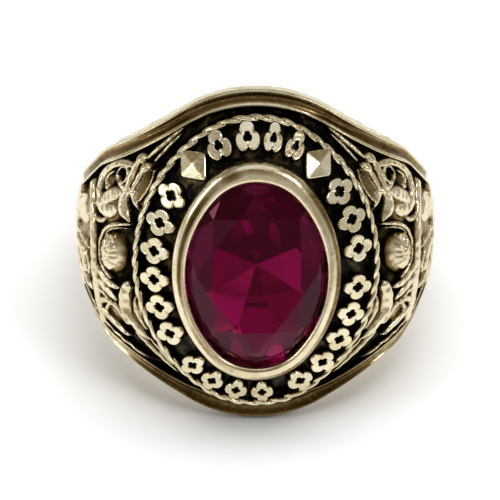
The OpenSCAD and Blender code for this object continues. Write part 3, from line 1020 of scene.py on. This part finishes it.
# Shoulder relief, drawn on a plane that leans halfway between face and side
# Strokes: root, bend and tip (across, along), width, height, and the width left at root and tip
STROKES = [
    # Slivers beside the rope, above
    ((-3.0, 7.0), (-3.6, 7.8), (-4.7, 9.3), 0.34, 0.56, 0.7, 0.15),
    ((-3.45, 6.8), (-3.95, 7.7), (-4.6, 8.7), 0.26, 0.52, 0.7, 0.15),
    # Leaf bundle beside the rope, running together at the join
    ((-2.55, 6.9), (-2.0, 6.1), (-2.05, 4.8), 0.46, 0.64, 0.9, 0.4),
    ((-3.0, 6.35), (-2.6, 5.7), (-2.4, 4.7), 0.36, 0.62, 0.9, 0.4),
    ((-3.45, 6.1), (-3.45, 4.9), (-2.7, 3.9), 0.2, 0.54, 0.9, 0.5),
    ((-1.3, 5.05), (-1.8, 4.75), (-2.45, 4.6), 0.42, 0.56, 0.6, 0.8),
    # Two blades hanging from the join
    ((-2.05, 4.8), (-1.45, 3.6), (-2.4, 2.6), 0.6, 0.6, 0.6, 0.08),
    ((-2.4, 4.8), (-2.35, 4.2), (-2.8, 3.5), 0.36, 0.52, 0.8, 0.08),
    # Broad scroll under the upper rail
    ((0.75, 4.15), (0.9, 5.2), (0.0, 5.8), 0.5, 0.64, 0.9, 1.0),
    ((0.0, 5.8), (-0.8, 6.45), (-2.1, 6.3), 0.48, 0.64, 1.0, 0.6),
    ((-0.1, 4.5), (0.5, 5.1), (-0.5, 5.6), 0.22, 0.5, 0.9, 0.6),
    # Soft folded leaf between the scroll and the medallion
    ((0.85, 4.2), (0.7, 3.7), (0.3, 3.2), 0.55, 0.55, 0.8, 0.8),
    ((0.3, 3.4), (-0.6, 4.2), (-1.65, 4.5), 0.85, 0.5, 0.8, 0.15),
    ((0.6, 3.2), (-0.6, 2.7), (-1.4, 3.4), 0.85, 0.5, 0.8, 0.15),
    ((0.8, 2.4), (0.2, 1.9), (-0.5, 2.5), 0.42, 0.45, 0.7, 0.2),
    # Arcs round the medallion
    ((-0.2, 1.0), (-0.6, 2.5), (-2.5, 2.4), 0.28, 0.6, 0.8, 0.4),
    ((-0.65, 1.4), (-1.1, 2.25), (-2.4, 2.1), 0.17, 0.5, 0.6, 0.4),
    ((-0.15, 1.1), (0.02, 0.55), (-0.1, -0.1), 0.24, 0.55, 0.9, 0.9),
    ((-0.1, 0.0), (-0.1, -1.0), (-1.2, -1.5), 0.26, 0.58, 0.9, 0.5),
    # Leaves under the medallion
    ((0.4, -1.1), (-0.3, -2.0), (-1.7, -2.15), 0.6, 0.55, 0.4, 0.1),
    ((0.6, -1.9), (-0.2, -2.5), (-1.5, -3.1), 0.6, 0.55, 0.5, 0.1),
    ((0.6, -2.8), (0.1, -3.0), (-0.5, -3.2), 0.36, 0.48, 0.6, 0.2),
    # Finger leaves rising from the rail's corner
    ((-2.2, -1.9), (-1.75, -3.1), (-2.1, -4.2), 0.62, 0.66, 0.9, 0.45),
    ((-2.1, -4.0), (-2.4, -4.9), (-3.15, -5.7), 0.46, 0.62, 0.9, 0.4),
    ((-2.65, -2.7), (-2.4, -3.8), (-3.1, -5.0), 0.32, 0.56, 0.6, 0.4),
    ((-2.75, -2.2), (-3.3, -3.4), (-3.35, -4.7), 0.2, 0.54, 0.5, 0.4),
    ((-1.2, -3.5), (-1.6, -4.0), (-2.1, -4.7), 0.5, 0.58, 0.9, 0.4),
    # Curl and low strands beside the rail
    ((1.0, -4.2), (0.5, -3.4), (-0.8, -3.4), 0.44, 0.58, 0.9, 0.6),
    ((-0.75, -3.5), (-0.1, -3.8), (0.1, -4.4), 0.26, 0.5, 0.9, 0.5),
    ((1.0, -4.2), (0.1, -4.8), (-1.7, -5.7), 0.6, 0.58, 0.8, 0.3),
    # Slivers beside the rope, below
    ((-2.5, -5.3), (-3.2, -6.4), (-4.4, -8.2), 0.34, 0.55, 0.5, 0.12),
    ((-3.15, -5.6), (-3.7, -6.7), (-4.8, -8.5), 0.24, 0.52, 0.6, 0.12),
    # Plain leaves beyond the bar
    ((4.0, 2.1), (3.0, 2.2), (2.2, 2.3), 1.6, 0.64, 1.0, 0.9),
    ((4.2, 0.6), (2.8, 0.6), (1.2, 0.0), 0.4, 0.6, 0.6, 0.6),
    ((3.4, -0.2), (2.7, -0.8), (2.3, -2.0), 0.75, 0.6, 0.3, 0.5),
    ((1.9, -0.4), (1.5, -1.0), (1.6, -2.0), 0.36, 0.56, 0.5, 0.5),
    ((3.6, -1.8), (2.8, -2.4), (1.5, -3.1), 0.6, 0.6, 0.3, 0.4),
]
# How much wider every stroke is than its table value
STROKE_SWELL = 1.34
# Low webs of metal between the leaves: centre, half-sizes and height
WEBS = [
    ((-2.85, 4.9), (0.75, 1.9), 0.42), ((-2.9, -3.7), (0.7, 1.9), 0.42), ((-0.6, 3.3), (1.4, 1.4), 0.3),
    ((-0.9, -4.3), (1.3, 0.9), 0.26), ((2.9, 0.2), (1.7, 4.2), 0.4), ((0.1, -2.6), (1.3, 1.9), 0.34),
    ((0.3, 4.9), (0.9, 1.1), 0.26),
]
# Beads: centre, radius and height
BEADS = [
    ((-2.55, 6.85), 0.42, 0.8), ((-3.0, 6.3), 0.4, 0.78), ((0.75, 4.15), 0.34, 0.68),
    ((-0.1, 4.5), 0.24, 0.56), ((-2.25, -1.95), 0.36, 0.72), ((-1.2, -3.5), 0.3, 0.66),
    ((-0.75, -3.45), 0.28, 0.64), ((1.0, -4.2), 0.3, 0.6),
]
# Wires: centre, half-sizes across and along, width and height
WIRES = [((-1.4, 5.6), (0.46, 0.5), 0.24, 0.62)]
# Medallion: centre, half-sizes of its body and its height
MEDALLION = (-1.28, 0.3)
MEDALLION_HALF = (1.02, 1.55)
MEDALLION_BODY = 0.5
# Boss on the body: how far across it stands and its size, over the body's half-sizes, and its height
BOSS_ACROSS = 0.27
BOSS_SIZE = (0.72, 0.88)
BOSS_HEIGHT = 0.92
# Flutes round the boss and the groove within them, over its size, and how deep both are cut
BOSS_FLUTES = 13
BOSS_GROOVE = 0.33
BOSS_CUT = 0.14
# Bar beside the medallion: where it runs, its half-width and its height, and the panel beyond it
BAR_X = 0.78
BAR_HALF = 0.46
BAR_HEIGHT = 0.62
PANEL_FROM = (3.2, 3.4)
PANEL_HEIGHT = 0.66
# Thin lip along the lower rail: distance from the panel's edge, half-width, height, and where it begins
LIP_IN = 0.27
LIP_HALF = 0.2
LIP_HEIGHT = 0.5
LIP_FROM = (-3.5, -2.0)
# How dark the metal is on the ground, with antiquing, and on the webs, with painted shade
RELIEF_DARK = 0.8
WEB_SHADE = 0.42


def bulge(d):
    """Steep walls and a rounded top, from the middle of a stroke to its edge."""
    return np.where(d < 1, np.clip(1 - d**2, 0, 1) ** 0.38, 0)


def stroke_height(x, y, root, bend, tip, width, height, root_width, tip_width):
    """Height of one tapered stroke over the ground, rounded along its middle."""
    steps = 26
    t = np.linspace(0, 1, steps + 1)
    curve_x, curve_y = (
        (1 - t) ** 2 * root[i] + 2 * t * (1 - t) * bend[i] + t**2 * tip[i] for i in (0, 1)
    )
    swell = np.sin(math.pi * t) ** 0.6
    ends = root_width + (tip_width - root_width) * t
    half = STROKE_SWELL * width / 2 * (ends + (1 - ends) * swell)
    near = (np.abs(x - tip[0]) < 4) & (np.abs(y - tip[1]) < 5)
    px, py = x[near], y[near]
    raised = np.zeros_like(px)
    for i in range(steps):
        ax, ay = curve_x[i], curve_y[i]
        dx, dy = curve_x[i + 1] - ax, curve_y[i + 1] - ay
        f = np.clip(((px - ax) * dx + (py - ay) * dy) / (dx * dx + dy * dy), 0, 1)
        d = np.hypot(px - ax - f * dx, py - ay - f * dy)
        r = half[i] + (half[i + 1] - half[i]) * f
        raised = np.maximum(raised, height * bulge(d / r))
    result = np.zeros_like(x)
    result[near] = raised
    return result


def wire_height(x, y, centre, half, width, height):
    """Height of a closed oval wire."""
    px, py = (x - centre[0]) / half[0], (y - centre[1]) / half[1]
    d = np.abs(np.hypot(px, py) - 1) * min(half)
    return height * bulge(d / (width / 2))


def web_height(x, y):
    """Height of the low webs of metal that join the leaves."""
    height = np.zeros_like(x)
    for centre, half, top in WEBS:
        d = np.hypot((x - centre[0]) / half[0], (y - centre[1]) / half[1])
        height = np.maximum(height, top * np.clip(1 - d**2, 0, 1) ** 0.7)
    return height


def medallion_height(x, y):
    """Thick oval cartouche: a fluted boss with a sunk middle, over a wider body."""
    px, py = (x - MEDALLION[0]) / MEDALLION_HALF[0], (y - MEDALLION[1]) / MEDALLION_HALF[1]
    boss = np.hypot((px - BOSS_ACROSS) / BOSS_SIZE[0], py / BOSS_SIZE[1])
    flutes = 0.5 + 0.5 * np.cos(BOSS_FLUTES * np.arctan2(py, px - BOSS_ACROSS))
    flutes = BOSS_CUT * flutes * step_between(boss, 0.35, 0.5) * step_between(-boss, -0.92, -0.8)
    groove = BOSS_CUT * np.exp(-((boss - BOSS_GROOVE) / 0.06) ** 2)
    top = (BOSS_HEIGHT - flutes - groove) * bulge(boss)
    return np.maximum(MEDALLION_BODY * bulge(np.hypot(px, py)), top)


def leaves_height(x, y):
    """Height of strokes, wires, beads and medallion over the ground, on the leaning plane."""
    height = np.zeros_like(x)
    for stroke in STROKES:
        height = np.maximum(height, stroke_height(x, y, *stroke))
    for wire in WIRES:
        height = np.maximum(height, wire_height(x, y, *wire))
    for centre, radius, top in BEADS:
        height = np.maximum(height, top * bulge(np.hypot(x - centre[0], y - centre[1]) / radius))
    return np.maximum(height, medallion_height(x, y))


def bar_height(x, y):
    """Smooth bar, bowed away from the face at its ends, and the panel that runs on round to the shank."""
    middle = BAR_X + 0.055 * np.maximum(y, 0) ** 2 + 0.012 * np.minimum(y, 0) ** 2
    bar = BAR_HEIGHT * bulge(np.abs(x - middle) / BAR_HALF)
    return np.maximum(bar, PANEL_HEIGHT * step_between(x, *PANEL_FROM))


def raised_height(x, y, border):
    """Height of all that stands on the ground; the border is the distance from the panel's edge."""
    off_rail = np.maximum(step_between(border, 0.4, 0.6), step_between(x, 2.4, 3.2))
    bar = bar_height(x, y) * np.where(y > 0, off_rail, 1)
    lip = LIP_HEIGHT * bulge((border - LIP_IN) / LIP_HALF)
    lip = np.where(y < 0, lip, 0) * step_between(x, *LIP_FROM)
    return np.maximum(np.maximum(leaves_height(x, y), bar), lip)


def uneven(x, y):
    """Gentle hammered unevenness of the cast surface."""
    waves = [(5.3, 2.9, 0), (-6.1, 4.7, 1.9), (3.7, 9.1, 0.7), (11.3, -7.9, 0)]
    return 0.014 * sum(np.sin(a * x + b * y + start) for a, b, start in waves)


# Relief panel: its range round the finger hole, its grid, and how far it goes under the rails
RELIEF_FROM = math.radians(14)
RELIEF_TO = math.radians(106)
RELIEF_COLUMNS = 330
RELIEF_ROWS = 286
UNDER_RAIL = 0.1
# Angles over which the ground's antiquing and the webs' painted shade fade out, and past which the relief
# sinks a little
DIRT_AND_SHADE_FADE = (math.radians(80), math.radians(92))
SINK_FROM = math.radians(86)
SUNK_END = 0.1
# How far the panel's edge goes down into the band, and the least metal left over the bore
BORDER_DEPTH = 0.5
OVER_BORE = 0.12


def panel_faces(rows, columns):
    """Faces of a grid, closed behind from edge to edge."""
    last_row = (rows - 1) * columns
    last_column = columns - 1
    faces = [list(f) for f in grid_faces(rows, columns)]
    faces += [[i, last_row + i, last_row + i + 1, i + 1][::-1] for i in range(last_column)]
    faces.append([r * columns for r in range(rows)])
    faces.append([r * columns + last_column for r in range(rows)][::-1])
    return faces


def relief(name, side):
    """One shoulder's ground and carving, closed behind with a plain back inside the band."""
    along = np.linspace(RELIEF_FROM, RELIEF_TO, RELIEF_COLUMNS)
    edge = edge_half(along) - RAIL_W + UNDER_RAIL
    f = np.linspace(-1, 1, RELIEF_ROWS)
    angle = np.broadcast_to(along, (RELIEF_ROWS, RELIEF_COLUMNS))
    v = f[:, None] * edge[None, :]
    border = (1 - np.abs(f))[:, None] * edge[None, :]
    ground = outer(angle, v) - GROUND
    x = (ground * np.sin(angle) - ground * np.cos(angle)) / math.sqrt(2)

    raised = raised_height(x, v, border)
    web = web_height(x, v)
    rough = uneven(x, v) * step_between(raised, 0.1, 0.4) * step_between(-x, -3.4, -2.6)
    height = np.maximum(raised, web) + rough
    height = height - SUNK_END * step_between(angle, SINK_FROM, RELIEF_TO)
    inside = step_between(border, 0.0, 0.1)
    inside = inside * step_between(angle, RELIEF_FROM, RELIEF_FROM + 0.05)
    inside = inside * step_between(RELIEF_TO - angle, 0, 0.05)
    rho = np.maximum(ground + height - (1 - inside) * BORDER_DEPTH, BORE_R + OVER_BORE)

    # Black antiquing on the ground and painted shade on the webs, both fading out round the back
    fade = 1 - step_between(angle, *DIRT_AND_SHADE_FADE)
    shade = RELIEF_DARK + (WEB_SHADE - RELIEF_DARK) * step_between(web, 0.05, 0.25)
    shade = shade * (1 - step_between(raised, 0.2, 0.56)) * fade
    points = on_ring(side * angle, rho, v).reshape(-1, 3)
    faces = panel_faces(RELIEF_ROWS, RELIEF_COLUMNS)
    if side < 0:
        faces = [f[::-1] for f in faces]
    gold_piece(name, points, faces, shade, smooth_angle=60)


add_camera()
add_lights()
add_world()
add_floor()
band()
setting()
rope_border()
along_channel("ornaments", {"rosette": rosette, "bud": bud}, smooth_angle=35)
along_channel("studs", {"stud": stud}, smooth_angle=25)
relief("relief_left", -1)
relief("relief_right", 1)
cut_stone()
